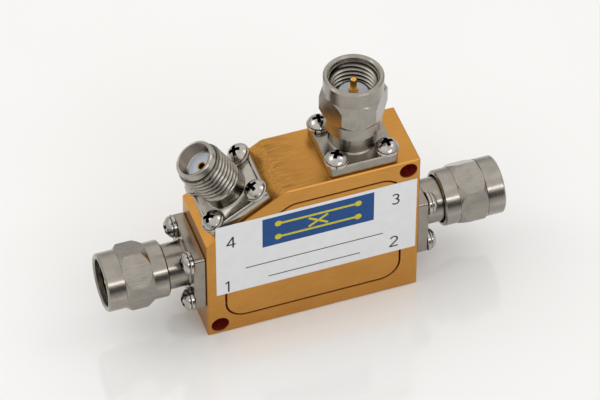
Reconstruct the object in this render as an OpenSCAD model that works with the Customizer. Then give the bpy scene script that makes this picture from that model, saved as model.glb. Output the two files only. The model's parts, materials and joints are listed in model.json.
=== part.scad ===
// Directional coupler: a milled stripline housing with three coaxial plugs and one jack.
// Origin at the middle of the bottom face, front face towards -Y, input port towards -X.

/* [Housing] */
// Width between the input and the output side
body_w = 29.9; // [28:0.1:36]
// Depth from front to back
body_d = 10.4; // [10.3:0.1:13]
// Height of the short left side, below the slope
side_h = 17.2; // [16:0.1:20]
// Length of the sloped face that carries the reverse port
slope_len = 13.1; // [12.8:0.1:16]
// Tilt of the sloped face from level
slope_angle = 32; // [26:1:38]
// Radius that blends the slope into the top
slope_blend = 1; // [0.5:0.25:3]
// Radius of the top right corner
corner_r = 0.25; // [0.2:0.05:1.2]
// Bevel that breaks the outer edges
edge_break = 0.15; // [0.05:0.05:0.3]
// Wall between the outside and the pocket
wall = 2.45; // [2.4:0.05:3.2]
// Corner radius of the pocket and the cover
pocket_r = 3; // [1.5:0.1:3.4]

/* [Mounting holes] */
// Diameter of the two through holes
mount_hole_d = 2.5; // [2:0.02:2.6]
// Distance of a hole's axis from the two outer faces beside it
mount_inset = 1.7; // [1.6:0.05:1.9]

/* [Cover and label] */
// Thickness of the cover
cover_t = 1.5; // [1:0.1:2]
// Groove between the cover and the housing
cover_gap = 0.3; // [0.1:0.02:0.4]
// Width of the label
label_w = 28.2; // [20:0.1:29]
// Height of the label
label_h = 13; // [8:0.1:15]
// Thickness of the label
label_t = 0.1; // [0.05:0.05:0.2]
// Distance of the label from the right side
label_right = 0.45; // [0.2:0.05:1]
// Height of the label's lower edge above the bottom
label_z = 7.6; // [2:0.1:10]

/* [Port places] */
// Height of the input and output axes above the bottom
line_z = 9.9; // [8:0.1:11.5]
// Distance of the forward port's axis from the right side
forward_inset = 7.75; // [7.6:0.05:9]
// Distance of the reverse port's axis up the slope
reverse_up = 6.4; // [6:0.1:6.6]

/* [Flanges] */
// Width of a square port flange
flange_w = 9.525; // [9:0.025:10]
// Thickness of a flange
flange_t = 1.65; // [1.4:0.05:2]
// Corner radius of a flange
flange_r = 0.5; // [0.2:0.1:1]
// Bevel that breaks a flange's edges
flange_bevel = 0.15; // [0.05:0.01:0.16]
// Distance between the screws along a flange's side
screw_pitch = 7.05; // [6.9:0.05:7.15]
// Clearance hole for a screw in a flange
flange_hole_d = 1.75; // [1.65:0.05:1.9]

/* [Flange screws] */
// Thread diameter of a screw
screw_d = 1.52; // [1.4:0.02:1.6]
// Depth of a screw in the housing wall
screw_bite = 2.2; // [1.5:0.1:2.3]
// Diameter of a screw head
head_d = 2.95; // [2.6:0.05:3.05]
// Height of a screw head
head_h = 1.1; // [0.8:0.05:1.3]
// Radius of the dome on a screw head
head_dome = 1.75; // [1.6:0.05:3]
// Bevel under the rim of a screw head
head_bevel = 0.14; // [0.05:0.01:0.2]
// Length of the arms of the cross recess
recess_w = 1.65; // [1.2:0.05:1.8]
// Width of the arms of the cross recess
recess_slot = 0.52; // [0.3:0.02:0.6]
// Depth of the cross recess
recess_depth = 0.65; // [0.4:0.05:0.7]
// Outer diameter of a split lock washer
washer_d = 3.25; // [3:0.05:3.3]
// Thickness of a split lock washer
washer_t = 0.45; // [0.3:0.05:0.6]
// Bevel on a lock washer's outer edges
washer_bevel = 0.08; // [0.04:0.01:0.12]
// Width of the split in a lock washer
washer_split = 0.22; // [0.1:0.02:0.4]

/* [Plugs] */
// Diameter of the shank between flange and nut
shank_d = 6.24; // [6:0.02:6.3]
// Fillet where the shank meets the flange
shank_fillet = 0.2; // [0.1:0.05:0.25]
// Shank left bare between flange and nut
shank_bare = 2.95; // [2.6:0.05:4]
// Shank inside the nut, up to its shoulder
shank_in_nut = 2.85; // [2.6:0.05:3]
// Outer diameter of the sleeve that enters the mating jack
sleeve_d = 4.58; // [4.5:0.01:4.6]
// Depth of the sleeve's end below the nut's rim
sleeve_depth = 3.3; // [2.6:0.05:3.6]
// Diameter of the centre contact's stem
stem_d = 1.27; // [1.1:0.01:1.4]
// Stem that shows above the dielectric
stem_rise = 1; // [0.5:0.05:1.2]
// Diameter of the contact's pin
pin_d = 0.914; // [0.88:0.002:0.94]
// Depth of the pin's tip below the nut's rim
pin_depth = 0.55; // [0.3:0.05:1]

/* [Coupling nuts] */
// Distance across the flats of the hexagon
nut_af = 7.94; // [7.9:0.02:8.1]
// Length of the hexagon
hex_len = 4; // [3.5:0.1:4.6]
// Diameter of the round rear end
nut_rear_d = 7.8; // [7.6:0.02:7.9]
// Length of the round rear end
nut_rear_len = 2.15; // [1.8:0.05:2.6]
// Diameter of the round front end
nut_front_d = 8.05; // [7.8:0.01:8.2]
// Length of the round front end
nut_front_len = 2.5; // [2:0.05:3]
// Angle of the chamfer on the hexagon's front end, from the end's plane
front_chamfer = 50; // [20:1:60]
// Angle of the chamfer on the hexagon's rear end, from the end's plane
rear_chamfer = 60; // [30:1:64]
// Radial gap between the shank and the nut
nut_gap = 0.3; // [0.15:0.01:0.35]
// Length of the plain bore at the nut's mouth
nut_entry = 0.85; // [0.5:0.05:1.2]
// Bevel on the nut's outer rims
rim_bevel = 0.2; // [0.1:0.02:0.24]
// Turn of the input nut's hexagon
input_nut_turn = -7; // [-30:1:30]
// Turn of the output nut's hexagon
output_nut_turn = -12; // [-30:1:30]
// Turn of the forward nut's hexagon
forward_nut_turn = -9; // [-30:1:30]

/* [Snap rings] */
// Thickness of a snap ring
ring_t = 0.5; // [0.4:0.05:0.55]
// Radial width of a snap ring
ring_w = 0.78; // [0.7:0.02:0.86]
// Reach of a snap ring into the nut's groove
ring_catch = 0.16; // [0.1:0.01:0.2]
// Distance of a snap ring from the nut's rear face
ring_back = 1.5; // [1.3:0.05:1.6]
// Opening in a snap ring
ring_split = 1.6; // [1:0.1:2.5]
// Play of a snap ring in its grooves
ring_play = 0.06; // [0.04:0.01:0.08]

/* [Jack] */
// Major diameter of the coupling thread, on the jack and in the nuts
thread_d = 6.35; // [6.3:0.01:6.4]
// Radial clearance of the thread in the nuts
thread_clear = 0.03; // [0.02:0.01:0.05]
// Diameter of the plain base of the barrel
barrel_base_d = 6; // [5.7:0.05:6.3]
// Length of the plain base of the barrel
barrel_base = 2.2; // [2:0.05:2.6]
// Length of the threaded barrel
barrel_thread = 5.15; // [4:0.05:6]
// Diameter of the plain lead at the barrel's mouth
barrel_lead_d = 5.55; // [5.4:0.01:5.7]
// Length of the plain lead
barrel_lead = 1; // [0.5:0.05:1.5]
// Diameter of the mouth that takes the plug's sleeve
mouth_d = 4.62; // [4.61:0.01:4.7]
// Depth of the mouth
mouth_depth = 2.05; // [1.8:0.05:2.4]
// Diameter of the hole in the socket contact
socket_d = 0.95; // [0.94:0.01:1.05]
// Depth of the hole in the socket contact
socket_depth = 3; // [2.6:0.1:4]

/* [Dielectric] */
// Diameter of the dielectric
dielectric_d = 4.1; // [3.9:0.02:4.2]
// Radial clearance of parts that are pressed together
press_gap = 0.02; // [0.01:0.01:0.03]

/* [Stripline] */
// Thickness of each board
board_t = 1.57; // [1:0.01:1.8]
// Gap between the boards and the pocket
board_gap = 0.1; // [0.05:0.01:0.2]
// Width of the copper strips
strip_w = 2.4; // [1.6:0.1:2.8]
// Thickness of the copper strips
strip_t = 0.1; // [0.05:0.05:0.2]
// Distance between the two strips along the coupled stretch
strip_gap = 1.2; // [0.6:0.1:1.8]
// Width of a contact's flat tab
tab_w = 1; // [0.6:0.05:1.2]
// Thickness of a contact's flat tab
tab_t = 0.25; // [0.15:0.05:0.35]
// Length of a contact's flat tab over its strip
tab_len = 1.6; // [1:0.1:2.2]
// Clearance round a tab in the upper board
tab_gap = 0.15; // [0.1:0.05:0.25]

/* [Hidden] */
$fn = 64;
// Overshoot of cutters past the face they open
over = 1;

// Height that follows from the slope
body_h = side_h + slope_len * sin(slope_angle);

// Ports as [x, z, tilt of the outward axis about Y]
input_port = [-body_w / 2, line_z, -90];
output_port = [body_w / 2, line_z, 90];
forward_port = [body_w / 2 - forward_inset, body_h, 0];
reverse_port = [
    -body_w / 2 + reverse_up * cos(slope_angle),
    side_h + reverse_up * sin(slope_angle),
    -slope_angle
];
ports = [input_port, output_port, forward_port, reverse_port];

// Turn of each cross recess on its flange, as the screws were driven
input_turns = [20, 65, 40, 5];
output_turns = [50, 10, 75, 30];
forward_turns = [75, 35, 10, 50];
reverse_turns = [30, 80, 15, 60];

// Depths in the housing, measured along Y from the ports' plane
front_y = -body_d / 2;
floor_y = board_t;
plate_t = body_d / 2 - cover_t - board_t;

// Places along a plug's axis, measured from the housing face
nut_start = flange_t + shank_bare;
hex_start = nut_start + nut_rear_len;
hex_end = hex_start + hex_len;
nut_rim = hex_end + nut_front_len;
shoulder = nut_start + shank_in_nut;
sleeve_end = nut_rim - sleeve_depth;
ring_start = nut_start + ring_back;

// Radii of a plug
nut_bore_r = shank_d / 2 + nut_gap;
thread_bore_r = thread_d / 2 + thread_clear;
hex_corner_r = nut_af / 2 / cos(30);
ring_outer_r = nut_bore_r + ring_catch;
ring_inner_r = ring_outer_r - ring_w;

// Places along the jack's axis
thread_start = flange_t + barrel_base;
thread_end = thread_start + barrel_thread;
jack_mouth = thread_end + barrel_lead;
jack_seat = jack_mouth - mouth_depth;

// Strips between the boards
coupled_z = line_z + strip_w + strip_gap;
strip_inset = wall + 2 * board_gap;

// Corners of the housing seen from the front, moved in by a distance
function outline(inset) =
    let (
        left = -body_w / 2 + inset,
        right = body_w / 2 - inset,
        bend_drop = inset * (1 - cos(slope_angle)),
        bend_x = -body_w / 2 + inset * sin(slope_angle)
            + (body_h - side_h - bend_drop) / tan(slope_angle),
        left_top = side_h - inset * cos(slope_angle) + inset * (1 - sin(slope_angle)) * tan(slope_angle)
    )
    [[left, inset], [right, inset], [right, body_h - inset], [bend_x, body_h - inset], [left, left_top]];

function unit(v) = v / norm(v);

// A corner of a closed outline: its point, the directions to the last and the next corner, half its angle
function corner(points, i) =
    let (
        count = len(points),
        v = points[i % count],
        to_last = unit(points[(i + count - 1) % count] - v),
        to_next = unit(points[(i + 1) % count] - v)
    )
    [v, to_last, to_next, acos(to_last * to_next) / 2];

// Distance from a corner to where its rounding starts
function round_reach(c, radius) = radius / tan(c[3]);

// Centre of a corner's rounding
function round_centre(c, radius) = c[0] + unit(c[1] + c[2]) * radius / sin(c[3]);

// A convex outline with each corner rounded to its own radius
module rounded(points, radii) {
    count = len(points);
    polygon([
        for (i = [0 : count - 1])
            let (c = corner(points, i), reach = round_reach(c, radii[i]))
            each (radii[i] > 0 ? [c[0] + c[1] * reach, c[0] + c[2] * reach] : [c[0]])
    ]);
    for (i = [0 : count - 1])
        if (radii[i] > 0)
            translate(round_centre(corner(points, i), radii[i]))
                circle(radii[i]);
}

// Profile of what a bevel takes off an edge, with the outline at X = 0 and the face at Y = 0
module bevel_profile(bevel) {
    past = bevel / 5;
    polygon([[-bevel - past, -past], [past, -past], [past, bevel + past]]);
}

// What a bevel takes off the lower edge of a rounded outline's extrusion
module edge_bevel(points, radii, bevel) {
    count = len(points);
    for (i = [0 : count - 1]) {
        c = corner(points, i);
        n = corner(points, i + 1);
        next_r = radii[(i + 1) % count];
        start = radii[i] > 0 ? round_reach(c, radii[i]) : -over;
        end = next_r > 0 ? round_reach(n, next_r) : -over;
        translate(c[0] + c[2] * start)
            rotate(atan2(c[2][1], c[2][0]))
                rotate([90, 0, 90])
                    linear_extrude(norm(n[0] - c[0]) - start - end)
                        mirror([1, 0])
                            bevel_profile(bevel);
        if (radii[i] > 0)
            translate(round_centre(c, radii[i]))
                rotate(atan2(c[1][0], -c[1][1]))
                    rotate_extrude(angle = 180 - 2 * c[3])
                        translate([radii[i], 0])
                            bevel_profile(bevel);
    }
}

// A rounded outline's extrusion, with both its edges bevelled
module bevelled_plate(points, radii, thickness, bevel) {
    difference() {
        linear_extrude(thickness)
            rounded(points, radii);
        edge_bevel(points, radii, bevel);
        translate([0, 0, thickness])
            mirror([0, 0, 1])
                edge_bevel(points, radii, bevel);
    }
}

// Turns a piece that was drawn upwards to the front, with its lower face at one Y
module facing_front(y) {
    translate([0, y, 0])
        rotate([90, 0, 0])
            children();
}

// A shape drawn as seen from the front, from one Y to a further one
module slab(y0, y1) {
    facing_front(y1)
        linear_extrude(y1 - y0)
            children();
}

// A round, flat or square piece on a port's axis, with +Z outwards
module at_port(port) {
    translate([port[0], 0, port[1]])
        rotate([0, port[2], 0])
            children();
}

// The four screw places of a flange, with the screw's number
module at_screws() {
    for (i = [0 : 3]) {
        $screw = i;
        rotate(45 + 90 * i)
            translate([screw_pitch / sqrt(2), 0, 0])
                children();
    }
}

// A half profile with a dome of the given radius on its end
module domed_profile(radius, length, dome) {
    intersection() {
        square([radius, length]);
        union() {
            square([radius, length - dome]);
            translate([0, length - dome])
                circle(dome);
        }
    }
}

// The outer block: its outline, with the front and back edges bevelled
module housing_block() {
    facing_front(body_d / 2)
        bevelled_plate(outline(0), [0, 0, corner_r, slope_blend, 0], body_d, edge_break);
}

module housing() {
    color("#B5822F")
    difference() {
        housing_block();
        slab(front_y - over, floor_y)
            rounded(outline(wall), [for (i = [0 : 4]) pocket_r]);
        // mounting holes in the lower left and the upper right corner
        for (place = [[-body_w / 2 + mount_inset, mount_inset], [body_w / 2 - mount_inset, body_h - mount_inset]])
            translate([place[0], 0, place[1]])
                rotate([90, 0, 0])
                    cylinder(d = mount_hole_d, h = body_d + 2 * over, center = true);
        for (port = ports)
            at_port(port) {
                translate([0, 0, -wall - over])
                    cylinder(d = dielectric_d, h = wall + 2 * over);
                at_screws()
                    translate([0, 0, -screw_bite - press_gap])
                        cylinder(r = screw_d / 2 + press_gap, h = screw_bite + press_gap + over);
            }
    }
}

module cover() {
    color("#BC8A38")
    slab(front_y, front_y + cover_t)
        rounded(outline(wall + cover_gap), [for (i = [0 : 4]) pocket_r - cover_gap]);
}

module label() {
    color("#F1F0EC")
    translate([body_w / 2 - label_right - label_w, front_y - label_t, label_z])
        cube([label_w, label_t, label_h]);
}

// The outline that every sheet in the pocket is cut to
module sheet_outline() {
    rounded(outline(wall + board_gap), [for (i = [0 : 4]) pocket_r - board_gap]);
}

// The strip from the input to the output contact
module main_strip() {
    strip_l = body_w - 2 * strip_inset;
    translate([-strip_l / 2, line_z - strip_w / 2])
        square([strip_l, strip_w]);
}

// Points along the coupled strip: from the reverse port, beside the main strip, to the forward port
function coupled_route() =
    let (
        inward = [sin(slope_angle), -cos(slope_angle)],
        start = [reverse_port[0], reverse_port[1]] + strip_inset * inward,
        first = start + inward * (start[1] - coupled_z) / cos(slope_angle),
        last = [forward_port[0], coupled_z]
    )
    [start, first, last, [forward_port[0], body_h - strip_inset]];

// A strip along a route that turns left at each corner, with the outer corners cut off
module strip_along(route, width) {
    half = width / 2;
    last = len(route) - 1;
    ways = [for (i = [0 : last - 1]) unit(route[i + 1] - route[i])];
    sides = [for (way = ways) half * [-way[1], way[0]]];
    inner = [
        for (i = [1 : last - 1])
            route[i] + (sides[i - 1] + sides[i]) / (1 + ways[i - 1] * ways[i])
    ];
    outer = [
        for (i = [1 : last - 1])
            each [route[i] - sides[i - 1], route[i] - sides[i]]
    ];
    left_edge = concat([route[0] + sides[0]], inner, [route[last] + sides[last - 1]]);
    right_edge = concat([route[0] - sides[0]], outer, [route[last] - sides[last - 1]]);
    polygon(concat(right_edge, [for (i = [len(left_edge) - 1 : -1 : 0]) left_edge[i]]));
}

module coupled_strip() {
    strip_along(coupled_route(), strip_w);
}

module main_line() {
    color("#C8803F")
    slab(0, strip_t)
        main_strip();
}

module coupled_line() {
    color("#C8803F")
    slab(0, strip_t)
        coupled_strip();
}

// Back board, with the two strips let into its face
module lower_board() {
    color("#E9E4D6")
    difference() {
        slab(0, board_t)
            sheet_outline();
        slab(-over, strip_t) {
            main_strip();
            coupled_strip();
        }
    }
}

// Front board, with a relief over each contact's tab
module upper_board() {
    color("#E9E4D6")
    difference() {
        slab(-board_t, 0)
            sheet_outline();
        for (port = ports)
            at_port(port)
                translate([-tab_w / 2 - tab_gap, -tab_t - tab_gap, -wall - board_gap - tab_len - tab_gap])
                    cube([tab_w + 2 * tab_gap, tab_t + tab_gap + over, tab_len + tab_gap + over]);
    }
}

module pressure_plate() {
    color("#C9CBCC")
    slab(front_y + cover_t, front_y + cover_t + plate_t)
        sheet_outline();
}

// Square flange with four screw holes, its face edges bevelled
module flange() {
    half = flange_w / 2;
    corners = [[-half, -half], [half, -half], [half, half], [-half, half]];
    radii = [for (i = [0 : 3]) flange_r];
    difference() {
        bevelled_plate(corners, radii, flange_t, flange_bevel);
        at_screws()
            translate([0, 0, -over])
                cylinder(d = flange_hole_d, h = flange_t + 2 * over);
    }
}

// Shank, snap ring groove and sleeve of a plug, turned on the flange
module plug_turning() {
    rotate_extrude()
        difference() {
            polygon([
                [0, 0], [shank_d / 2, 0],
                [shank_d / 2 + shank_fillet, flange_t], [shank_d / 2, flange_t + shank_fillet],
                [shank_d / 2, shoulder - rim_bevel], [shank_d / 2 - rim_bevel, shoulder],
                [sleeve_d / 2, shoulder], [sleeve_d / 2, sleeve_end], [0, sleeve_end]
            ]);
            translate([ring_inner_r - ring_play, ring_start])
                square([shank_d, ring_t + ring_play]);
        }
}

module plug_body() {
    color("#BDB9B2")
    difference() {
        union() {
            flange();
            plug_turning();
        }
        translate([0, 0, -over])
            cylinder(d = dielectric_d, h = sleeve_end + 2 * over);
    }
}

// Outside of a nut: a hexagon with turned corners between two bevelled round ends
module nut_blank(turn) {
    rear_r = nut_rear_d / 2;
    front_r = nut_front_d / 2;
    flat_r = nut_af / 2;
    front_cone = (hex_corner_r - flat_r) * tan(front_chamfer);
    rear_cone = (hex_corner_r - flat_r) * tan(rear_chamfer);
    rotate_extrude()
        polygon([
            [0, nut_start], [rear_r - rim_bevel, nut_start], [rear_r, nut_start + rim_bevel],
            [rear_r, hex_start], [flat_r - rim_bevel, hex_start], [flat_r - rim_bevel, hex_end],
            [front_r, hex_end], [front_r, nut_rim - rim_bevel], [front_r - rim_bevel, nut_rim], [0, nut_rim]
        ]);
    intersection() {
        rotate_extrude()
            polygon([
                [0, hex_start], [flat_r, hex_start], [hex_corner_r, hex_start + rear_cone],
                [hex_corner_r, hex_end - front_cone], [flat_r, hex_end], [0, hex_end]
            ]);
        rotate(turn)
            translate([0, 0, hex_start])
                cylinder(r = hex_corner_r, h = hex_len, $fn = 6);
    }
}

// Inside of a nut: rear bore, snap ring groove, thread bore and the wider mouth
module nut_bore() {
    groove_r = ring_outer_r + ring_play;
    mouth_r = thread_bore_r + rim_bevel / 2;
    thread_floor = shoulder + 2 * ring_play;
    rotate_extrude()
        polygon([
            [0, nut_start - over], [nut_bore_r, nut_start - over],
            [nut_bore_r, ring_start - ring_play], [groove_r, ring_start - ring_play],
            [groove_r, ring_start + ring_t + ring_play], [nut_bore_r, ring_start + ring_t + ring_play],
            [nut_bore_r, thread_floor], [thread_bore_r, thread_floor],
            [thread_bore_r, nut_rim - nut_entry], [mouth_r, nut_rim - nut_entry],
            [mouth_r, nut_rim - rim_bevel], [mouth_r + rim_bevel, nut_rim],
            [mouth_r + rim_bevel, nut_rim + over], [0, nut_rim + over]
        ]);
}

module coupling_nut(turn) {
    color("#C2BEB7")
    difference() {
        nut_blank(turn);
        nut_bore();
    }
}

// Open spring ring that keeps the nut on its shank
module snap_ring() {
    gap_angle = 2 * asin(ring_split / 2 / ring_outer_r);
    color("#B79A5B")
    translate([0, 0, ring_start])
        rotate_extrude(angle = 360 - gap_angle)
            translate([ring_inner_r, 0])
                square([ring_w, ring_t]);
}

// Insulator from the pocket to the mating face
module dielectric(face) {
    color("#E4E8EE")
    difference() {
        translate([0, 0, -wall])
            cylinder(r = dielectric_d / 2 - press_gap, h = wall + face);
        translate([0, 0, -wall - over])
            cylinder(r = stem_d / 2 + press_gap, h = wall + face + 2 * over);
    }
}

// Flat end of a contact that lies on its strip
module contact_tab() {
    translate([-tab_w / 2, -tab_t, -wall - tab_len - board_gap])
        cube([tab_w, tab_t, tab_len + board_gap + stem_d / 2]);
}

module pin_contact() {
    pin_start = sleeve_end + stem_rise;
    color("#C99A3C") {
        contact_tab();
        translate([0, 0, -wall])
            cylinder(d = stem_d, h = wall + pin_start);
        translate([0, 0, pin_start - pin_d / 2])
            rotate_extrude()
                domed_profile(pin_d / 2, nut_rim - pin_depth - pin_start + pin_d / 2, 0.6 * pin_d);
    }
}

module socket_contact() {
    color("#C99A3C")
    difference() {
        union() {
            contact_tab();
            translate([0, 0, -wall])
                cylinder(d = stem_d, h = wall + jack_seat);
        }
        translate([0, 0, jack_seat - socket_depth])
            cylinder(d = socket_d, h = socket_depth + over);
    }
}

// Flange with the barrel, its thread drawn at the major diameter
module jack_body() {
    lead_step = (thread_d - barrel_lead_d) / 2;
    color("#BDB9B2")
    difference() {
        union() {
            flange();
            rotate_extrude()
                polygon([
                    [0, 0], [barrel_base_d / 2, 0],
                    [barrel_base_d / 2 + shank_fillet, flange_t], [barrel_base_d / 2, flange_t + shank_fillet],
                    [barrel_base_d / 2, thread_start], [thread_d / 2, thread_start],
                    [thread_d / 2, thread_end - lead_step], [barrel_lead_d / 2, thread_end],
                    [barrel_lead_d / 2, jack_mouth - rim_bevel], [barrel_lead_d / 2 - rim_bevel, jack_mouth],
                    [0, jack_mouth]
                ]);
        }
        translate([0, 0, -over])
            cylinder(d = dielectric_d, h = jack_mouth + 2 * over);
        translate([0, 0, jack_seat])
            cylinder(d = mouth_d, h = mouth_depth + over);
    }
}

// Pan head screw with a cross recess, through washer and flange into the housing
module screw(turn) {
    seat = flange_t + washer_t;
    difference() {
        union() {
            translate([0, 0, -screw_bite])
                cylinder(d = screw_d, h = screw_bite + seat + head_h / 2);
            translate([0, 0, seat])
                rotate_extrude()
                    difference() {
                        domed_profile(head_d / 2, head_h, head_dome);
                        translate([head_d / 2, 0])
                            bevel_profile(head_bevel);
                    }
        }
        for (arm = [0, 90])
            rotate(turn + arm)
                translate([-recess_w / 2, -recess_slot / 2, seat + head_h - recess_depth])
                    cube([recess_w, recess_slot, recess_depth + over]);
    }
}

module screws(turns) {
    color("#CFCBC3")
    at_screws()
        screw(turns[$screw]);
}

// Section of a lock washer, its outer edges bevelled
module washer_section() {
    difference() {
        translate([flange_hole_d / 2, 0])
            square([(washer_d - flange_hole_d) / 2, washer_t]);
        translate([washer_d / 2, 0])
            bevel_profile(washer_bevel);
        translate([washer_d / 2, washer_t])
            mirror([0, 1])
                bevel_profile(washer_bevel);
    }
}

// Split lock washers, each with its opening where it came to rest
module lock_washers(turns) {
    gap_angle = 2 * asin(washer_split / washer_d);
    color("#C6C2BA")
    at_screws()
        translate([0, 0, flange_t])
            rotate(3 * turns[$screw])
                rotate_extrude(angle = 360 - gap_angle)
                    washer_section();
}

housing();
cover();
label();
lower_board();
upper_board();
pressure_plate();
main_line();
coupled_line();
at_port(input_port) plug_body();  // input_plug_body
at_port(input_port) coupling_nut(input_nut_turn);  // input_coupling_nut
at_port(input_port) snap_ring();  // input_snap_ring
at_port(input_port) dielectric(sleeve_end);  // input_dielectric
at_port(input_port) pin_contact();  // input_contact
at_port(input_port) screws(input_turns);  // input_screws
at_port(input_port) lock_washers(input_turns);  // input_lock_washers
at_port(output_port) plug_body();  // output_plug_body
at_port(output_port) coupling_nut(output_nut_turn);  // output_coupling_nut
at_port(output_port) snap_ring();  // output_snap_ring
at_port(output_port) dielectric(sleeve_end);  // output_dielectric
at_port(output_port) pin_contact();  // output_contact
at_port(output_port) screws(output_turns);  // output_screws
at_port(output_port) lock_washers(output_turns);  // output_lock_washers
at_port(forward_port) plug_body();  // forward_plug_body
at_port(forward_port) coupling_nut(forward_nut_turn);  // forward_coupling_nut
at_port(forward_port) snap_ring();  // forward_snap_ring
at_port(forward_port) dielectric(sleeve_end);  // forward_dielectric
at_port(forward_port) pin_contact();  // forward_contact
at_port(forward_port) screws(forward_turns);  // forward_screws
at_port(forward_port) lock_washers(forward_turns);  // forward_lock_washers
at_port(reverse_port) jack_body();  // reverse_jack_body
at_port(reverse_port) dielectric(jack_seat);  // reverse_dielectric
at_port(reverse_port) socket_contact();  // reverse_contact
at_port(reverse_port) screws(reverse_turns);  // reverse_screws
at_port(reverse_port) lock_washers(reverse_turns);  // reverse_lock_washers
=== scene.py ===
"""Looks of the directional coupler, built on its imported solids: finishes, threads and the label's print."""

import json
import math

import bmesh
import bpy
from mathutils import Matrix, Quaternion, Vector


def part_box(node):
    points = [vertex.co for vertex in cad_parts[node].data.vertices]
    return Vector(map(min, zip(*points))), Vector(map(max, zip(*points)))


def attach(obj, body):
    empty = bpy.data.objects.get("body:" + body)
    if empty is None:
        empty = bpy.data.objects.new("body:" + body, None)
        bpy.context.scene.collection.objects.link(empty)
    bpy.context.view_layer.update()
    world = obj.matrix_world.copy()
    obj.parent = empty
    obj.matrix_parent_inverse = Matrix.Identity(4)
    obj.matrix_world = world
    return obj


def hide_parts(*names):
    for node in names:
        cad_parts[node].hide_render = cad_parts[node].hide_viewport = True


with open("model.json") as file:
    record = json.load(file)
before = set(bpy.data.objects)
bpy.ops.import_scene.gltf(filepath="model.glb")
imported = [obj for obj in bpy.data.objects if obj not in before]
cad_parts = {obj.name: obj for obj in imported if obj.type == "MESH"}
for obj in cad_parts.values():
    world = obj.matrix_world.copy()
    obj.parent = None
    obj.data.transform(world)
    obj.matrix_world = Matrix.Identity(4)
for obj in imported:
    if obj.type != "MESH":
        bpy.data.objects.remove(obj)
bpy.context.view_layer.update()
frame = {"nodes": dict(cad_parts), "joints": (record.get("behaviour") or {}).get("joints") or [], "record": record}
nodes = frame["nodes"]
scene = bpy.context.scene

PLUGS = ("input", "output", "forward")
JACK = "reverse"

# Lengths are in millimetres and angles in degrees, unless a comment says otherwise
MM = 0.001

# Camera of the photograph, found by fitting the housing and flanges to it
CAMERA_AZIMUTH = -19.364
CAMERA_ELEVATION = 46.203
CAMERA_ROLL = 0.188
CAMERA_DISTANCE = 500.56
CAMERA_TARGET = (-0.126, 0, 16.301)
CAMERA_LENS = 225.015
SENSOR_WIDTH = 36
CLIP_START, CLIP_END = 10, 20000

# Housing
MOUNT_HOLE_R = 1.25
MOUNT_INSET = 1.7  # from two sides to the middle of a through hole
CREASE_X = -3.84  # where the slope meets the top

# Places along a port's axis, outwards from the housing face
FLANGE_T = 1.65
NUT_START = 4.6
HEX_START = 6.75
HEX_END = 10.75
NUT_THREAD_START = 7.9
NUT_THREAD_END = 12.1
BARREL_MIDDLE = 6.225
GROOVE_START = 4.1
GROOVE_END = 8.95

# Coaxial thread
THREAD_PITCH = 0.7056
THREAD_STEPS = 64  # in a turn
THREAD_FLANK = 30
LAND_HALF = 0.05  # half the width of a crest or root
RUN_IN_TURNS = 1 / 3  # part of a turn over which it runs in and out
SHARP_ANGLE = 35  # edges past this stay sharp

# Ridge of a nut's thread
NUT_BORE_R = 3.205
NUT_CREST_R = 2.85
FOOT_HALF = 0.31  # half the width of its foot
FOOT_SINK = 0.03  # how far the foot lies inside the wall
RIDGE_END_H = 0.04  # its height over the foot at both ends

# Groove of the barrel's thread
BARREL_R = 3.175
BARREL_ROOT_R = 2.79
CUTTER_OUT = 0.08  # how far the cutter stands out of the barrel
CUTTER_END_OUT = 0.02  # the same for its root, at both ends
WELD_DISTANCE = 0.0005  # for the barrel's mesh before it is cut

# Flange screws
SCREW_PITCH = 7.05  # side of the square that they stand on
HEAD_SEAT = 2.1
RECESS_R = 0.87
RECESS_FLOOR = 2.78

# Tests that sort a solid's faces, by a face's middle and by its unit normal
SLACK = 0.01
TURNED_REACH = 3.4  # what is turned on a flange lies within this radius
BODY_BORE_R = 2.5  # a body's bores lie within this radius
BORE_BEHIND = 1  # a nut's bore runs on this far behind its thread
FLAT_DEPTH = 0.5  # a nut's flats lie at least this far outside its bore
GROOVE_BEFORE, GROOVE_AFTER = 0.1, 0.3  # the groove's faces lie within this past its ends
GROOVE_UNDER = 0.04  # and at least this deep in the barrel
WALL_LEAN = 0.1  # a wall's normal has less than this along the axis
RECESS_LEAN = 0.3  # the same for the wall of a screw's recess
BORE_LEAN = 0.3  # a bore's normal has more than this towards the axis

# Label
FILM_DEPTH = 0.012  # from the solid's front to the film's, with room for two layers of ink
INK_T = 0.005
FIELD = (-7.22, 14.8, 8.45, 20.1)  # left, bottom, right, top
RULE_W = 0.16
RULES = [(-9.6, 9.8, 11.7), (-6.4, 6.6, 9.0)]  # left, right, height
DIGIT_H = 2.05
DIGIT_LINE = 0.23
PORT_DIGITS = {"1": (-12.07, 8.91), "4": (-11.55, 17.3), "3": (11.52, 17.71), "2": (11.41, 9.58)}
ARC_STEPS = 16

# Coupler sign on the label
LINE_W = 0.36
LINE_LEFT, LINE_RIGHT = -5.0, 6.2
LINE_LOW, LINE_HIGH = 16.2, 18.7
TERMINAL_R = 0.5
TERMINAL_SIDES = 32
CROSS_HALF_W, CROSS_HALF_H = 1.35, 0.8
CROSS_GAP = 0.62  # half the gap in the falling line, in line widths

# Base colours of the metals
GOLD_DARK = (0.490, 0.230, 0.048)
GOLD_MIDDLE = (0.535, 0.256, 0.057)
GOLD_LIGHT = (0.575, 0.282, 0.067)
# smudges on the slope and top near the crease, partly painted shade
SMUDGE_AND_SHADE = (0.180, 0.090, 0.022)
BODY_STEEL = (0.300, 0.272, 0.233)
NUT_STEEL = (0.328, 0.304, 0.269)
# the jack's steel: brighter than the plugs', partly its own finish and partly painted light
JACK_STEEL_AND_PAINTED_LIGHT = (0.400, 0.370, 0.324)
# darker steel for the bores: painted shade
SHADED_BORE_STEEL = (0.170, 0.152, 0.130)
# painted shade in the roots of the threads
ROOT_SHADE = (0.018, 0.014, 0.010)
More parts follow.
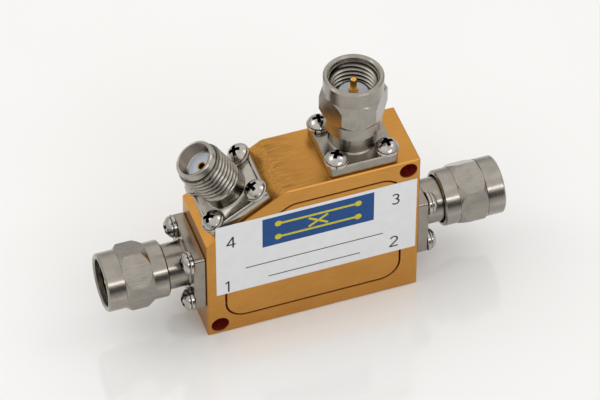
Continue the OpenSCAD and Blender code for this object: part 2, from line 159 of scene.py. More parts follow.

# Dark and light tones of the other finishes
# dark red deeper in the openings; in the groove round the cover it is painted shade
DEEP_RED_TONES = ((0.40, 0.034, 0.030), (0.60, 0.070, 0.045))
STEEL_TONES = ((0.36, 0.34, 0.31), (0.50, 0.48, 0.45))
# near black for the screws' recesses: painted shade
RECESS_SHADE_TONES = ((0.004, 0.004, 0.004), (0.016, 0.015, 0.013))
# bluish white insulator, darkened with painted shade for its place deep in the ports
SHADED_PTFE_TONES = ((0.56, 0.61, 0.69), (0.63, 0.68, 0.75))
CONTACT_TONES = ((0.55, 0.29, 0.06), (0.68, 0.39, 0.10))
BRONZE_TONES = ((0.45, 0.28, 0.15), (0.58, 0.38, 0.2))
COPPER_TONES = ((0.62, 0.30, 0.17), (0.75, 0.40, 0.25))
PLATE_TONES = ((0.62, 0.63, 0.64), (0.76, 0.77, 0.78))
LAMINATE_TONES = ((0.72, 0.68, 0.58), (0.82, 0.79, 0.70))
FILM_TONES = ((0.79, 0.80, 0.82), (0.83, 0.84, 0.86))
BLUE_TONES = ((0.006, 0.060, 0.225), (0.012, 0.080, 0.270))
YELLOW_TONES = ((0.56, 0.50, 0.025), (0.68, 0.61, 0.04))
BLACK_TONES = ((0.010, 0.010, 0.011), (0.03, 0.03, 0.031))
TABLE_TONES = ((0.800, 0.803, 0.800), (0.817, 0.820, 0.817))
CARD_TONES = ((0.11, 0.11, 0.11), (0.14, 0.14, 0.14))

# Wear, dark red and painted shade
SMUDGE_AND_SHADE_REACH = 6.5  # from the crease, for the smudges and painted shade
RED_START, RED_FULL = 0.08, 0.25  # depths in an opening
SHADE_START, SHADE_FULL = 0.2, 0.75  # parts of a thread's depth where the painted shade starts and is darkest
SHADE_MOST = 0.95  # share of painted shade where it is darkest

# Ranges in the shaders
NOISE_LOW, NOISE_HIGH = 0.3, 0.7  # most of a noise lies between these
UP_START, UP_FULL = 0.80, 0.84  # Z of a normal from which a face counts as the slope or the top
FLANGE_LINES = (1, 0.05, 1)  # stretch of the milling lines across a flange, in the port's frame
HEXAGON_LINES = (1, 1, 0.06)  # the same along a hexagon

# Sockets of the Mix node, whose names repeat
MIX_VALUES, MIX_VALUE_OUT = (2, 3), 0
MIX_COLOURS, MIX_COLOUR_OUT = (6, 7), 2

# Studio, with its lengths in metres
ROOM_TINT = (1.0, 0.985, 0.965)
ROOM_LOW, ROOM_HIGH = 0.62, 1.07  # levels near the horizon and overhead
RISE_START, RISE_END = 0.1, 0.6  # Z of a unit vector between which the level rises
FLOOR_HALF = 2.5
CARD_DISTANCE, CARD_WIDTH, CARD_HEIGHT = 0.5, 0.9, 0.20
LAMP_DISTANCE = 0.6

# Lamps as azimuth, elevation, (width, height) in metres and level
LAMPS = {
    "left_softbox": (-112, 46, (0.34, 0.28), 1.4),
    "right_softbox": (78, 52, (0.25, 0.25), 1.3),
    "front_strip": (15, 32, (0.32, 0.075), 3.8),
}


# Port frames


def axis_frame(pos_m, axis):
    """Matrix of a frame at that place whose +Z runs along the axis."""
    turn = Vector(axis).to_track_quat("Z", "Y").to_matrix().to_4x4()
    return Matrix.Translation(Vector(pos_m)) @ turn


def port_frames():
    """Frame of each port, at the housing face with +Z outwards."""
    found = {}
    for joint in frame["joints"]:
        axis = Vector(joint["axis"])
        face = Vector(joint["pos_m"]) - axis * NUT_START * MM
        found[joint["child"].removesuffix("_nut")] = axis_frame(face, axis)
    thread = next(m for m in frame["record"]["mounts"] if m["name"] == f"{JACK}_thread")
    axis = Vector(thread["axis"])
    face = Vector(thread["pos_m"]) - axis * BARREL_MIDDLE * MM
    found[JACK] = axis_frame(face, axis)
    return found


PORTS = port_frames()


# Node helpers


def add(tree, kind, values=None, links=None, **settings):
    """A new node with settings, values on its sockets and links into them."""
    node = tree.nodes.new(kind)
    for key, value in settings.items():
        setattr(node, key, value)
    for key, value in (values or {}).items():
        node.inputs[key].default_value = value
    for key, socket in (links or {}).items():
        tree.links.new(socket, node.inputs[key])
    return node


def new_material(name, **sockets):
    """A material with the given values on its shader, and its node tree and shader."""
    material = bpy.data.materials.new(name)
    material.use_nodes = True
    tree = material.node_tree
    shader = tree.nodes["Principled BSDF"]
    for key, value in sockets.items():
        shader.inputs[key.replace("_", " ")].default_value = value
    return material, tree, shader


def feed(tree, shader, **sockets):
    """Links sockets into a shader's inputs."""
    for key, socket in sockets.items():
        tree.links.new(socket, shader.inputs[key.replace("_", " ")])


def place(tree):
    """The point's place in its body, in metres."""
    return add(tree, "ShaderNodeTexCoord").outputs["Object"]


def part_of(tree, vector, name):
    """One of the X, Y and Z of a vector."""
    return add(tree, "ShaderNodeSeparateXYZ", links={0: vector}).outputs[name]


def vector_math(tree, operation, links, values=None):
    """Outputs of vector arithmetic on links and values."""
    return add(tree, "ShaderNodeVectorMath", values, links, operation=operation).outputs


def combine(tree, operation, first, second):
    """Two value sockets put together."""
    return add(tree, "ShaderNodeMath", links={0: first, 1: second}, operation=operation).outputs[0]


def distance_from(tree, socket, middle):
    """How far a value lies from a middle one, either way."""
    beside = add(tree, "ShaderNodeMath", {1: middle}, {0: socket}, operation="SUBTRACT")
    return add(tree, "ShaderNodeMath", links={0: beside.outputs[0]}, operation="ABSOLUTE").outputs[0]


def noise(tree, vector, scale, detail=4, stretch=(1, 1, 1), roughness=0.55):
    """Noise with that many features a metre, drawn out where stretch is below 1."""
    made = add(
        tree,
        "ShaderNodeTexNoise",
        {"Scale": scale, "Detail": detail, "Roughness": roughness},
        {"Vector": vector_math(tree, "MULTIPLY", {0: vector}, {1: stretch})[0]},
    )
    return made.outputs["Fac"]


def ramp(tree, factor, stops):
    """Colours along a factor, as (place, colour) stops."""
    node = add(tree, "ShaderNodeValToRGB", links={"Fac": factor})
    elements = node.color_ramp.elements
    while len(elements) < len(stops):
        elements.new(1)
    for element, (at, colour) in zip(elements, stops):
        element.position = at
        element.color = (*colour, 1)
    return node.outputs["Color"]


def two_tone(tree, factor, tones):
    """A dark and a light tone along a noise."""
    dark, light = tones
    return ramp(tree, factor, [(NOISE_LOW, dark), (NOISE_HIGH, light)])


def shades(colour, low, high):
    """A darker and a lighter shade of a colour."""
    return tuple(low * c for c in colour), tuple(high * c for c in colour)


def spread(tree, factor, low, high, start=NOISE_LOW, end=NOISE_HIGH):
    """A factor between start and end, spread over a range of values."""
    node = add(
        tree,
        "ShaderNodeMapRange",
        {"From Min": start, "From Max": end, "To Min": low, "To Max": high},
        {"Value": factor},
    )
    return node.outputs["Result"]


def mixed(tree, first, second, share):
    """Two value sockets mixed, with that share of the second."""
    links = dict(zip(MIX_VALUES, (first, second)))
    return add(tree, "ShaderNodeMix", {"Factor": share}, links).outputs[MIX_VALUE_OUT]


def blend(tree, factor, first, colour):
    """A colour socket mixed towards a colour by a factor."""
    first_in, second_in = MIX_COLOURS
    links = {"Factor": factor, first_in: first}
    node = add(tree, "ShaderNodeMix", {second_in: (*colour, 1)}, links, data_type="RGBA")
    return node.outputs[MIX_COLOUR_OUT]


def bump(tree, shader, height, depth, strength):
    """Relief of that depth on a shader."""
    node = add(tree, "ShaderNodeBump", {"Distance": depth * MM, "Strength": strength}, {"Height": height})
    feed(tree, shader, Normal=node.outputs["Normal"])


# Materials


def gold_finish():
    """Gold coat on milled aluminium: fine grain along X, and dark streaks on the slope and top near where they
    meet, partly smudges and partly painted shade.
    """
    material, tree, shader = new_material("gold_coat", Metallic=1.0)
    at = place(tree)
    grain = noise(tree, at, scale=11000, stretch=(0.05, 1, 1))
    mottle = noise(tree, at, scale=300, stretch=(0.6, 1, 1))
    tone = mixed(tree, grain, mottle, share=0.4)
    gold = ramp(tree, tone, [(0.36, GOLD_DARK), (0.5, GOLD_MIDDLE), (0.64, GOLD_LIGHT)])
    normal = add(tree, "ShaderNodeNewGeometry").outputs["Normal"]
    looks_up = spread(tree, part_of(tree, normal, "Z"), 0.0, 1.0, UP_START, UP_FULL)
    from_crease = distance_from(tree, part_of(tree, at, "X"), CREASE_X * MM)
    nearness = spread(tree, from_crease, 1.0, 0.0, 0.0, SMUDGE_AND_SHADE_REACH * MM)
    ragged = noise(tree, at, scale=3600, detail=6, stretch=(0.12, 1, 1), roughness=0.7)
    streaks = spread(tree, ragged, 0.08, 0.95, start=0.36, end=0.72)
    # Smudges and painted shade: darker streaks on the slope and top near the crease
    smudge_and_shade = combine(tree, "MULTIPLY", combine(tree, "MULTIPLY", streaks, nearness), looks_up)
    colour = blend(tree, smudge_and_shade, gold, SMUDGE_AND_SHADE)
    feed(tree, shader, Base_Color=colour, Roughness=spread(tree, tone, 0.28, 0.38))
    bump(tree, shader, grain, depth=0.003, strength=0.5)
    return material


def opening_finish():
    """Walls of the housing's openings: gold at the mouth and dark red deeper in; in the groove round the cover the
    dark red is painted shade.
    """
    material, tree, shader = new_material("opening_wall", Metallic=0.75)
    at = place(tree)
    grain = noise(tree, at, scale=1800)
    deep_red = two_tone(tree, grain, DEEP_RED_TONES)
    from_middle = distance_from(tree, part_of(tree, at, "Y"), 0.0)
    half_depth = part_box("housing")[1].y
    mouth = spread(tree, from_middle, 0.0, 1.0, half_depth - RED_FULL * MM, half_depth - RED_START * MM)
    colour = blend(tree, mouth, deep_red, GOLD_LIGHT)
    feed(tree, shader, Base_Color=colour, Roughness=spread(tree, grain, 0.28, 0.42))
    bump(tree, shader, grain, depth=0.01, strength=0.4)
    return material


def port_place(tree, port):
    """The point's place in a port's frame, in metres."""
    inverse = PORTS[port].inverted()
    node = add(
        tree,
        "ShaderNodeMapping",
        {"Location": inverse.translation, "Rotation": inverse.to_euler()},
        {"Vector": place(tree)},
        vector_type="POINT",
    )
    return node.outputs["Vector"]


def axis_distance(tree, local):
    """Distance from a port's axis, in metres, of a place in its frame."""
    flat = vector_math(tree, "MULTIPLY", {0: local}, {1: (1, 1, 0)})[0]
    return vector_math(tree, "LENGTH", {0: flat})["Value"]


def across_rings(tree, port):
    """The way that highlights are drawn out on a turned surface: across its rings."""
    axis = PORTS[port].to_3x3() @ Vector((0, 0, 1))
    out = vector_math(tree, "SUBTRACT", {0: place(tree)}, {1: PORTS[port].translation})[0]
    round_way = vector_math(tree, "CROSS_PRODUCT", {1: out}, {0: axis})[0]
    world_way = add(
        tree,
        "ShaderNodeVectorTransform",
        links={0: round_way},
        vector_type="VECTOR",
        convert_from="OBJECT",
        convert_to="WORLD",
    )
    normal = add(tree, "ShaderNodeNewGeometry").outputs["Normal"]
    return vector_math(tree, "CROSS_PRODUCT", {0: normal, 1: world_way.outputs[0]})[0]


def turned_steel(name, port, colour):
    """Stainless steel turned on a port's axis: fine rings round it, and dull smears."""
    material, tree, shader = new_material(name, Metallic=1.0, Anisotropic=0.5)
    local = port_place(tree, port)
    radius = axis_distance(tree, local)
    height = part_of(tree, local, "Z")
    section = add(tree, "ShaderNodeCombineXYZ", links={"X": radius, "Y": height}).outputs[0]
    rings = noise(tree, section, scale=9000, detail=3)
    smears = noise(tree, local, scale=500)
    dark, light = shades(colour, 0.85, 1.1)
    tone = ramp(tree, smears, [(0.3, dark), (0.52, colour), (0.75, light)])
    rough = combine(tree, "ADD", spread(tree, rings, 0.18, 0.26), spread(tree, smears, -0.02, 0.05))
    feed(tree, shader, Base_Color=tone, Roughness=rough, Tangent=across_rings(tree, port))
    bump(tree, shader, rings, depth=0.0012, strength=0.5)
    return material


def milled_steel(name, port, colour, stretch):
    """Stainless steel milled flat: fine lines one way, and faint smears."""
    material, tree, shader = new_material(name, Metallic=1.0)
    local = port_place(tree, port)
    lines = noise(tree, local, scale=9000, stretch=stretch)
    smears = noise(tree, local, scale=420, detail=5)
    dark, light = shades(colour, 0.72, 1.14)
    marks = mixed(tree, lines, smears, share=0.5)
    tone = ramp(tree, marks, [(0.34, dark), (0.52, colour), (0.7, light)])
    rough = combine(tree, "ADD", spread(tree, lines, 0.15, 0.24), spread(tree, smears, -0.03, 0.06))
    feed(tree, shader, Base_Color=tone, Roughness=rough)
    bump(tree, shader, lines, depth=0.0016, strength=0.5)
    return material


def thread_steel(port, colour, crest, root):
    """Steel of a cut thread, with painted shade darkening it towards the roots."""
    material, tree, shader = new_material(f"{port}_thread_steel", Metallic=1.0)
    local = port_place(tree, port)
    smears = noise(tree, local, scale=1600)
    steel = two_tone(tree, smears, shades(colour, 0.8, 1.15))
    shade_start_r = crest + (root - crest) * SHADE_START
    shade_full_r = crest + (root - crest) * SHADE_FULL
    # Painted shade: the steel darkens towards the roots of the thread
    root_shade = spread(tree, axis_distance(tree, local), 0.0, SHADE_MOST, shade_start_r * MM, shade_full_r * MM)
    tone = blend(tree, root_shade, steel, ROOT_SHADE)
    feed(tree, shader, Base_Color=tone, Roughness=spread(tree, smears, 0.22, 0.36))
    bump(tree, shader, smears, depth=0.002, strength=0.5)
    return material


def body_steels(port, colour):
    """Steels of a port's body: turned, milled flange, and a bore darkened with painted shade."""
    return [
        turned_steel(f"{port}_turned_steel", port, colour),
        milled_steel(f"{port}_milled_steel", port, colour, FLANGE_LINES),
        turned_steel(f"{port}_shaded_bore_steel", port, SHADED_BORE_STEEL),
    ]


def nut_steels(port):
    """Steels of a plug's nut: turned, milled hexagon and thread."""
    return [
        turned_steel(f"{port}_nut_steel", port, NUT_STEEL),
        milled_steel(f"{port}_hexagon_steel", port, NUT_STEEL, HEXAGON_LINES),
        thread_steel(port, NUT_STEEL, NUT_CREST_R, NUT_BORE_R),
    ]


def speckled(name, tones, rough, scale, depth, detail=5, **sockets):
    """A finish of two close tones with a fine grain."""
    material, tree, shader = new_material(name, **sockets)
    grain = noise(tree, place(tree), scale, detail)
    feed(tree, shader, Base_Color=two_tone(tree, grain, tones), Roughness=spread(tree, grain, *rough))
    bump(tree, shader, grain, depth, strength=0.4)
    return material


def metal(name, tones, rough, scale, depth):
    """A speckled finish of bare metal."""
    return speckled(name, tones, rough, scale, depth, Metallic=1.0)


def ink(name, tones):
    """Matt printing ink."""
    return speckled(name, tones, rough=(0.45, 0.55), scale=2600, depth=0.002, Specular_IOR_Level=0.25)


GOLD = gold_finish()
OPENING = opening_finish()
SCREW = metal("screw_steel", STEEL_TONES, rough=(0.11, 0.20), scale=1500, depth=0.002)
WASHER = metal("washer_steel", STEEL_TONES, rough=(0.13, 0.22), scale=2200, depth=0.002)
# Painted shade: the screws' recesses are near black
RECESS_SHADE = metal("screw_recess_shade", RECESS_SHADE_TONES, rough=(0.5, 0.7), scale=6000, depth=0.006)
# Bluish white, darkened with painted shade
SHADED_PTFE = speckled("ptfe_with_painted_shade", SHADED_PTFE_TONES, rough=(0.38, 0.5), scale=3000, depth=0.003)
CONTACT = metal("contact_gold", CONTACT_TONES, rough=(0.18, 0.30), scale=5000, depth=0.003)
BRONZE = metal("spring_bronze", BRONZE_TONES, rough=(0.25, 0.4), scale=4000, depth=0.004)
COPPER = metal("copper_strip", COPPER_TONES, rough=(0.25, 0.4), scale=3500, depth=0.004)
PLATE = metal("milled_plate", PLATE_TONES, rough=(0.3, 0.45), scale=3000, depth=0.005)
LAMINATE = speckled("bare_laminate", LAMINATE_TONES, rough=(0.5, 0.65), scale=2500, depth=0.008)
FILM = speckled("label_film_white", FILM_TONES, rough=(0.32, 0.42), scale=700, depth=0.003)
INK_BLUE = ink("ink_blue", BLUE_TONES)
INK_YELLOW = ink("ink_yellow", YELLOW_TONES)
INK_BLACK = ink("ink_black", BLACK_TONES)
TABLE = speckled("pale_table", TABLE_TONES, rough=(0.07, 0.11), scale=25, depth=0.001, detail=1, IOR=1.65)
CARD = speckled("dark_card", CARD_TONES, rough=(0.7, 0.8), scale=60, depth=0.01)


# Sorting the faces of the solids


def dress(piece, *materials):
    """Gives a piece its materials, the first one everywhere, and returns its mesh."""
    piece.data.materials.clear()
    for material in materials:
        piece.data.materials.append(material)
    return piece.data


def sort_faces(mesh, port, pick):
    """Sets each face's material by pick(centre, normal), in millimetres in the port's frame."""
    inverse = PORTS[port].inverted()
    turn = inverse.to_3x3()
    for face in mesh.polygons:
        face.material_index = pick(inverse @ face.center / MM, turn @ face.normal)


def flange_or_turned(centre, normal):
    """1 on the square flange, 2 in the bore, which is darkened with painted shade, 0 on the rest of what is
    turned.
    """
    radius = centre.xy.length
    looks_in = normal.xy.dot(centre.xy) < -BORE_LEAN * radius
    if looks_in and radius < BODY_BORE_R:
        return 2
    on_flange = -SLACK < centre.z < FLANGE_T + SLACK and radius > TURNED_REACH
    return 1 if on_flange else 0


def thread_or_body(centre, normal):
    """3 in the grooves of the jack's thread, and as flange_or_turned on the rest of its body."""
    in_reach = GROOVE_START - GROOVE_BEFORE < centre.z < GROOVE_END + GROOVE_AFTER
    in_groove = in_reach and BODY_BORE_R < centre.xy.length < BARREL_R - GROOVE_UNDER
    return 3 if in_groove else flange_or_turned(centre, normal)


def hexagon_or_turned(centre, normal):
    """1 on the flats of the hexagon, 2 in the thread's bore, 0 on what is turned."""
    radius = centre.xy.length
    if radius < NUT_BORE_R + SLACK and centre.z > NUT_THREAD_START - BORE_BEHIND:
        return 2
    on_side = HEX_START < centre.z < HEX_END and radius > NUT_BORE_R + FLAT_DEPTH
    return 1 if on_side and abs(normal.z) < WALL_LEAN else 0


def recess_or_head(centre, normal):
    """1 inside a screw's recess, which is painted near black as shade, 0 on the rest of it."""
    side = SCREW_PITCH / 2
    beside = Vector((abs(centre.x) - side, abs(centre.y) - side)).length
    inside = beside < RECESS_R and centre.z > HEAD_SEAT
    wall = abs(normal.z) < RECESS_LEAN
    floor = centre.z < RECESS_FLOOR
    return 1 if inside and (wall or floor) else 0


def sort_opening_walls(housing, cover):
    """Gives the second material to the walls of the through holes and of the groove round the cover."""
    low, high = (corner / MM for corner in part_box("housing"))
    inset = Vector((MOUNT_INSET, MOUNT_INSET))
    holes = (low.xz + inset, high.xz - inset)
    middle = (low.xz + high.xz) / 2
    for face in housing.polygons:
        at = face.center.xz / MM
        in_hole = min((at - hole).length for hole in holes) < MOUNT_HOLE_R + SLACK
        looks_in = face.normal.xz.dot(middle - at) > 0
        face.material_index = 1 if abs(face.normal.y) < WALL_LEAN and (in_hole or looks_in) else 0
    # The groove's walls get the dark red as painted shade
    for face in cover.polygons:
        face.material_index = 1 if abs(face.normal.y) < WALL_LEAN else 0


# New meshes


def link(name, data):
    """A new object in the scene."""
    piece = bpy.data.objects.new(name, data)
    scene.collection.objects.link(piece)
    return piece


def closed_mesh(name, points, faces):
    """A mesh whose faces all look outwards."""
    mesh = bpy.data.meshes.new(name)
    mesh.from_pydata(points, [], faces)
    made = bmesh.new()
    made.from_mesh(mesh)
    bmesh.ops.recalc_face_normals(made, faces=made.faces)
    made.to_mesh(mesh)
    made.free()
    return mesh


def tube_mesh(name, rings):
    """A closed mesh through rings of points, capped at both ends."""
    sides = len(rings[0])
    last = len(rings) - 1

    def corner(i, k):
        return i * sides + k % sides

    points = [p for ring in rings for p in ring]
    faces = [
        (corner(i, k), corner(i, k + 1), corner(i + 1, k + 1), corner(i + 1, k))
        for i in range(last)
        for k in range(sides)
    ]
    caps = [tuple(corner(i, k) for k in range(sides)) for i in (0, last)]
    return closed_mesh(name, points, faces + caps)


def smooth(mesh):
    """Smooth shading, with sharp edges kept."""
    mesh.shade_smooth()
    mesh.set_sharp_from_angle(angle=math.radians(SHARP_ANGLE))


# Threads


def helix_rings(port, start, end, section):
    """Rings of a section wound along a port's axis. section(fade) gives its (radius, offset) points."""
    turns = (end - start) / THREAD_PITCH
    rings = []
    for i in range(int(turns * THREAD_STEPS) + 1):
        turn = i / THREAD_STEPS
        fade = max(0.0, min(1.0, turn / RUN_IN_TURNS, (turns - turn) / RUN_IN_TURNS))
        angle = 2 * math.pi * turn
        along = start + turn * THREAD_PITCH
        rings.append([
            PORTS[port] @ (Vector((r * math.cos(angle), r * math.sin(angle), along + z)) * MM)
            for r, z in section(fade)
        ])
    return rings


def nut_thread(port, material):
    """The ridge of a nut's inner thread, rooted a little inside its wall."""
    foot = NUT_BORE_R + FOOT_SINK
    end_crest = foot - RIDGE_END_H

    def section(fade):
        crest = end_crest - (end_crest - NUT_CREST_R) * fade
        return [(foot, -FOOT_HALF), (foot, FOOT_HALF), (crest, LAND_HALF), (crest, -LAND_HALF)]

    name = f"{port}_nut_thread"
    ridge = link(name, tube_mesh(name, helix_rings(port, NUT_THREAD_START, NUT_THREAD_END, section)))
    ridge.data.materials.append(material)
    smooth(ridge.data)
    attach(ridge, f"{port}_nut")


def groove_cutter():
    """What the jack's thread takes off its barrel."""
    outside = BARREL_R + CUTTER_OUT
    end_root = BARREL_R + CUTTER_END_OUT

    def section(fade):
        root = end_root - (end_root - BARREL_ROOT_R) * fade
        half = LAND_HALF + (outside - root) * math.tan(math.radians(THREAD_FLANK))
        return [(root, -LAND_HALF), (outside, -half), (outside, half), (root, LAND_HALF)]

    rings = helix_rings(JACK, GROOVE_START, GROOVE_END, section)
    return link("thread_cutter", tube_mesh("thread_cutter", rings))


def threaded_jack():
    """The jack's body with its outer thread cut in."""
    mesh = nodes["reverse_jack_body"].data.copy()
    made = bmesh.new()
    made.from_mesh(mesh)
    bmesh.ops.remove_doubles(made, verts=made.verts, dist=WELD_DISTANCE * MM)
    made.to_mesh(mesh)
    made.free()
    body = link("reverse_jack_threaded", mesh)
    cutter = groove_cutter()
    cut = body.modifiers.new("thread", "BOOLEAN")
    cut.operation = "DIFFERENCE"
    cut.solver = "EXACT"
    cut.object = cutter
    bpy.context.view_layer.update()
    cut_mesh = bpy.data.meshes.new_from_object(body.evaluated_get(bpy.context.evaluated_depsgraph_get()))
    body.modifiers.clear()
    body.data = cut_mesh
    bpy.data.objects.remove(cutter)
    smooth(cut_mesh)
    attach(body, "coupler")
    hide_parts("reverse_jack_body")
    return body


# Label and its print


def prisms(name, outlines, back, front, material):
    """Flat pieces of the label, from one Y in metres to another, with outlines in (x, z) millimetres."""
    points = []
    faces = []
    for outline in outlines:
        count = len(outline)
        first = len(points)
        for y in (back, front):
            points.extend((x * MM, y, z * MM) for x, z in outline)
        faces.append(tuple(range(first, first + count)))
        faces.append(tuple(range(first + count, first + 2 * count)))
        for k in range(count):
            n = (k + 1) % count
            faces.append((first + k, first + n, first + count + n, first + count + k))
    piece = link(name, closed_mesh(name, points, faces))
    piece.data.materials.append(material)
    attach(piece, "coupler")
    return piece


def rectangle(x0, z0, x1, z1):
    """Outline of an upright rectangle."""
    return [(x0, z0), (x1, z0), (x1, z1), (x0, z1)]


def stroke(points, width):
    """Outline of a line of points drawn that wide."""
    points = [Vector(p) for p in points]
    ways = [(b - a).normalized() for a, b in zip(points, points[1:])]
    left, right = [], []
    for point, before, after in zip(points, ways[:1] + ways, ways + ways[-1:]):
        mean = (before + after).normalized()
        side = Vector((-mean.y, mean.x)) * width / 2 / mean.dot(before)
        left.append(tuple(point + side))
        right.append(tuple(point - side))
    return right + left[::-1]


def arc(x, z, radius, start, end, steps=ARC_STEPS):
    """Points along part of a circle, from one angle to another."""
    turns = [math.radians(start + (end - start) * k / steps) for k in range(steps + 1)]
    return [(x + radius * math.cos(t), z + radius * math.sin(t)) for t in turns]


def terminal(x, z):
    """Outline of a round spot at the end of a line."""
    return arc(x, z, TERMINAL_R, 0, 360, TERMINAL_SIDES)[:-1]


def coupler_symbol():
    """The plain circuit sign of a coupler: two lines with terminals, and a cross between them."""
    outlines = []
    for z in (LINE_LOW, LINE_HIGH):
        outlines.append(stroke([(LINE_LEFT + TERMINAL_R, z), (LINE_RIGHT - TERMINAL_R, z)], LINE_W))
        outlines.extend(terminal(x, z) for x in (LINE_LEFT, LINE_RIGHT))
    middle = Vector(((LINE_LEFT + LINE_RIGHT) / 2, (LINE_LOW + LINE_HIGH) / 2))
    rising = Vector((CROSS_HALF_W, CROSS_HALF_H))
    falling = Vector((CROSS_HALF_W, -CROSS_HALF_H))
    clear = falling.normalized() * LINE_W * CROSS_GAP
    outlines.append(stroke([middle - rising, middle + rising], LINE_W))
    outlines.append(stroke([middle - falling, middle - clear], LINE_W))
    outlines.append(stroke([middle + clear, middle + falling], LINE_W))
    return outlines


# Lines of each digit, in parts of its height, with its middle at zero
DIGIT_LINES = {
    "1": [[(-0.19, 0.31), (0.03, 0.46)], [(0.03, -0.5), (0.03, 0.5)]],
    "2": [arc(0, 0.21, 0.235, 165, -38) + [(-0.26, -0.42)], [(-0.3, -0.445), (0.29, -0.445)]],
    "3": [arc(-0.02, 0.235, 0.21, 150, -90), arc(-0.02, -0.21, 0.235, 90, -150)],
    "4": [[(0.11, 0.47), (-0.3, -0.2)], [(-0.33, -0.2), (0.3, -0.2)], [(0.12, -0.5), (0.12, 0.5)]],
}


def digit(text, x, z):
    """Outlines of a port's number with its middle at that place."""
    return [
        stroke([(x + across * DIGIT_H, z + up * DIGIT_H) for across, up in line], DIGIT_LINE)
        for line in DIGIT_LINES[text]
    ]


def printed_label():
    """The label as a film with ink on it, all inside the label's solid."""
    low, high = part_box("label")
    film_front = low.y + FILM_DEPTH * MM
    ink_front = film_front - INK_T * MM
    outline = rectangle(low.x / MM, low.z / MM, high.x / MM, high.z / MM)
    film = prisms("label_film", [outline], high.y, film_front, FILM)
    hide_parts("label")
    prisms("label_field", [rectangle(*FIELD)], film_front, ink_front, INK_BLUE)
    prisms("label_symbol", coupler_symbol(), ink_front, ink_front - INK_T * MM, INK_YELLOW)
    rules = [rectangle(x0, z - RULE_W / 2, x1, z + RULE_W / 2) for x0, x1, z in RULES]
    prisms("label_rules", rules, film_front, ink_front, INK_BLACK)
    for text, at in PORT_DIGITS.items():
        prisms(f"port_digit_{text}", digit(text, *at), film_front, ink_front, INK_BLACK)


# The object


def dress_housing():
    """The housing, its cover and what is inside."""
    sort_opening_walls(dress(nodes["housing"], GOLD, OPENING), dress(nodes["cover"], GOLD, OPENING))
    inside = {
        "lower_board": LAMINATE,
        "upper_board": LAMINATE,
        "pressure_plate": PLATE,
        "main_line": COPPER,
        "coupled_line": COPPER,
    }
    for name, material in inside.items():
        dress(nodes[name], material)


def dress_fittings(port):
    """What every port has: insulator, contact, screws and washers."""
    dress(nodes[f"{port}_dielectric"], SHADED_PTFE)
    dress(nodes[f"{port}_contact"], CONTACT)
    dress(nodes[f"{port}_lock_washers"], WASHER)
    sort_faces(dress(nodes[f"{port}_screws"], SCREW, RECESS_SHADE), port, recess_or_head)


def dress_plug(port):
    """A plug's body, its nut with the thread, and its snap ring."""
    body = dress(nodes[f"{port}_plug_body"], *body_steels(port, BODY_STEEL))
    sort_faces(body, port, flange_or_turned)
    steels = nut_steels(port)
    nut = dress(nodes[f"{port}_coupling_nut"], *steels)
    sort_faces(nut, port, hexagon_or_turned)
    nut_thread(port, steels[-1])
    dress(nodes[f"{port}_snap_ring"], BRONZE)


def dress_jack():
    """The jack's body with its thread."""
    # The jack's steel is lighter than the plugs', partly painted light
    thread = thread_steel(JACK, JACK_STEEL_AND_PAINTED_LIGHT, BARREL_R, BARREL_ROOT_R)
    body = dress(threaded_jack(), *body_steels(JACK, JACK_STEEL_AND_PAINTED_LIGHT), thread)
    sort_faces(body, JACK, thread_or_body)


# Camera, floor and light


def aim(azimuth, elevation):
    """Unit vector from the object towards that side. Azimuth 0 is the front, -Y."""
    a, e = math.radians(azimuth), math.radians(elevation)
    return Vector((math.sin(a) * math.cos(e), -math.cos(a) * math.cos(e), math.sin(e)))


def make_camera():
    """The photograph's camera."""
    data = bpy.data.cameras.new("camera")
    data.lens = CAMERA_LENS
    data.sensor_width = SENSOR_WIDTH
    data.clip_start = CLIP_START * MM
    data.clip_end = CLIP_END * MM
    camera = link("camera", data)
    back = aim(CAMERA_AZIMUTH, CAMERA_ELEVATION)
    camera.location = (Vector(CAMERA_TARGET) + back * CAMERA_DISTANCE) * MM
    camera.rotation_mode = "QUATERNION"
    roll = Quaternion((0, 0, 1), math.radians(CAMERA_ROLL))
    camera.rotation_quaternion = (-back).to_track_quat("-Z", "Y") @ roll
    scene.camera = camera


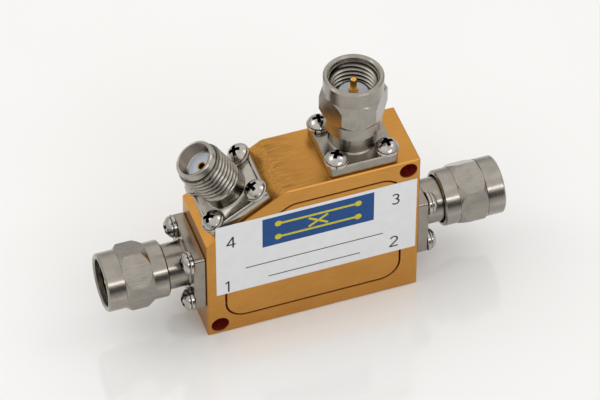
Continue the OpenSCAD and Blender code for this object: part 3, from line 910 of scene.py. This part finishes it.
def stage_sheet(name, corners, material):
    """A flat piece of the studio."""
    mesh = bpy.data.meshes.new(name)
    mesh.from_pydata(corners, [], [(0, 1, 2, 3)])
    mesh.materials.append(material)
    sheet = link(name, mesh)
    return sheet


def make_floor():
    """A large pale table with a soft sheen."""
    r = FLOOR_HALF
    stage_sheet("floor", [(-r, -r, 0), (r, -r, 0), (r, r, 0), (-r, r, 0)], TABLE)


def make_card():
    """A dark card in front, seen by the metal but not by the camera."""
    x, y, z = CARD_WIDTH / 2, -CARD_DISTANCE, CARD_HEIGHT
    card = stage_sheet("dark_card", [(-x, y, 0), (x, y, 0), (x, y, z), (-x, y, z)], CARD)
    card.visible_camera = False


def soft_lamp(name, azimuth, elevation, size, level):
    """A lamp that faces the object, with pi times its level in watts for each square metre."""
    width, height = size
    data = bpy.data.lights.new(name, "AREA")
    data.shape = "RECTANGLE"
    data.size = width
    data.size_y = height
    data.energy = level * math.pi * width * height
    lamp = link(name, data)
    towards = aim(azimuth, elevation)
    lamp.location = Vector(CAMERA_TARGET) * MM + towards * LAMP_DISTANCE
    lamp.rotation_mode = "QUATERNION"
    lamp.rotation_quaternion = (-towards).to_track_quat("-Z", "Y")


def make_room():
    """A white room, a little duller near the horizon."""
    world = bpy.data.worlds.new("studio")
    world.use_nodes = True
    scene.world = world
    tree = world.node_tree
    tree.nodes.clear()
    way = add(tree, "ShaderNodeTexCoord").outputs["Generated"]
    level = spread(tree, part_of(tree, way, "Z"), ROOM_LOW, ROOM_HIGH, RISE_START, RISE_END)
    room = add(tree, "ShaderNodeBackground", {"Color": (*ROOM_TINT, 1)}, {"Strength": level})
    add(tree, "ShaderNodeOutputWorld", links={"Surface": room.outputs[0]})


make_camera()
make_floor()
make_card()
make_room()
for lamp_name, lamp in LAMPS.items():
    soft_lamp(lamp_name, *lamp)
scene.view_settings.view_transform = "Standard"

dress_housing()
for plug in PLUGS:
    dress_fittings(plug)
    dress_plug(plug)
dress_fittings(JACK)
dress_jack()
printed_label()
